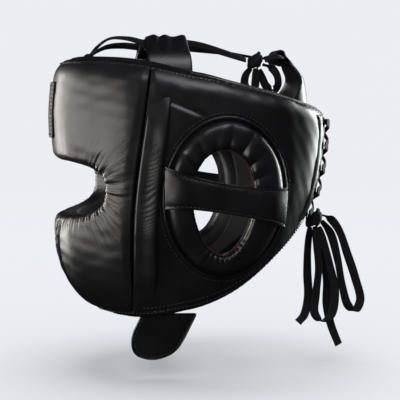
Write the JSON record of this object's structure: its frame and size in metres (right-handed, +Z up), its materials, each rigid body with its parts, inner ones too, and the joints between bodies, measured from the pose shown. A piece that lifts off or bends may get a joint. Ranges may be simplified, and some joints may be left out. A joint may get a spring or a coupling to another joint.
{
  "type": "boxing headgear",
  "caption": "Full-face padded leather boxing headgear with chin bar, ringed ear openings, lace-up back, laced crown and a chin fastening.",
  "frame": {"origin": "middle of the head cavity, half way between forehead and nape and between the ears", "axes": "+Z up the wearer's head, -Y out of the face, +X to the wearer's left"},
  "size_m": [0.225, 0.3033, 0.2963],
  "materials": {
    "leather": "glossy black full-grain leather with fine grain",
    "lining": "matt black lining leather",
    "foam": "black padding foam, matt",
    "lace": "flat woven black lace",
    "pile": "black hook and loop pile"
  },
  "bodies": {
    "front_section": {"front_shell": "leather", "front_lining": "lining", "eye_opening_facing": "leather", "front_top_binding": "leather", "front_bottom_binding": "leather", "forehead_pad": "foam", "right_cheek_pad": "foam", "chin_pad": "foam", "left_cheek_pad": "foam", "forehead_patch": "leather", "front_lace_tab": "leather", "left_crown_flap": "leather", "right_crown_flap": "leather", "rear_crown_flap": "leather", "rear_tongue": "leather", "crown_lace": "lace", "crown_knot": "lace", "crown_bow_loop_1": "lace", "crown_bow_loop_2": "lace", "rear_bow_knot": "lace", "rear_bow_loop_1": "lace", "rear_bow_loop_2": "lace", "rear_lace_tail_1": "lace", "rear_lace_tail_2": "lace"},
    "left_side": {"left_side_shell": "leather", "left_side_pad": "foam", "left_side_lining": "lining", "left_side_top_binding": "leather", "left_side_bottom_binding": "leather", "left_rear_binding": "leather", "left_seam_bolster": "leather", "left_ear_piping": "leather", "left_ear_ring_cover": "leather", "left_ear_ring_core": "foam", "left_ear_strap": "leather", "left_eyelet_facing": "leather", "left_rear_lacing": "lace"},
    "right_side": {"right_side_shell": "leather", "right_side_pad": "foam", "right_side_lining": "lining", "right_side_top_binding": "leather", "right_side_bottom_binding": "leather", "right_rear_binding": "leather", "right_seam_bolster": "leather", "right_ear_piping": "leather", "right_ear_ring_cover": "leather", "right_ear_ring_core": "foam", "right_ear_strap": "leather", "right_eyelet_facing": "leather", "right_rear_lacing": "lace"},
    "chin_tab": {"chin_tab": "leather", "chin_tab_hook_patch": "pile"},
    "under_chin_strap": {"under_chin_strap": "leather", "under_chin_loop_patch": "pile"}
  },
  "joints": [
    {"name": "left_side_hinge", "type": "hinge", "parent": "front_section", "child": "left_side", "pos_m": [0.097, -0.052, 0], "axis": [0, 0, -1], "range_deg": [0, 12], "deforming": ["left_rear_lacing"]},
    {"name": "right_side_hinge", "type": "hinge", "parent": "front_section", "child": "right_side", "pos_m": [-0.097, -0.052, 0], "axis": [0, 0, 1], "range_deg": [0, 12], "deforming": ["right_rear_lacing"]},
    {"name": "chin_tab_hinge", "type": "hinge", "parent": "left_side", "child": "chin_tab", "pos_m": [0.05, -0.025, -0.1355], "axis": [0, 1, 0], "range_deg": [0, 85]},
    {"name": "under_chin_hinge", "type": "hinge", "parent": "right_side", "child": "under_chin_strap", "pos_m": [-0.038, -0.02, -0.1275], "axis": [0, -1, 0], "range_deg": [0, 15]}
  ]
}
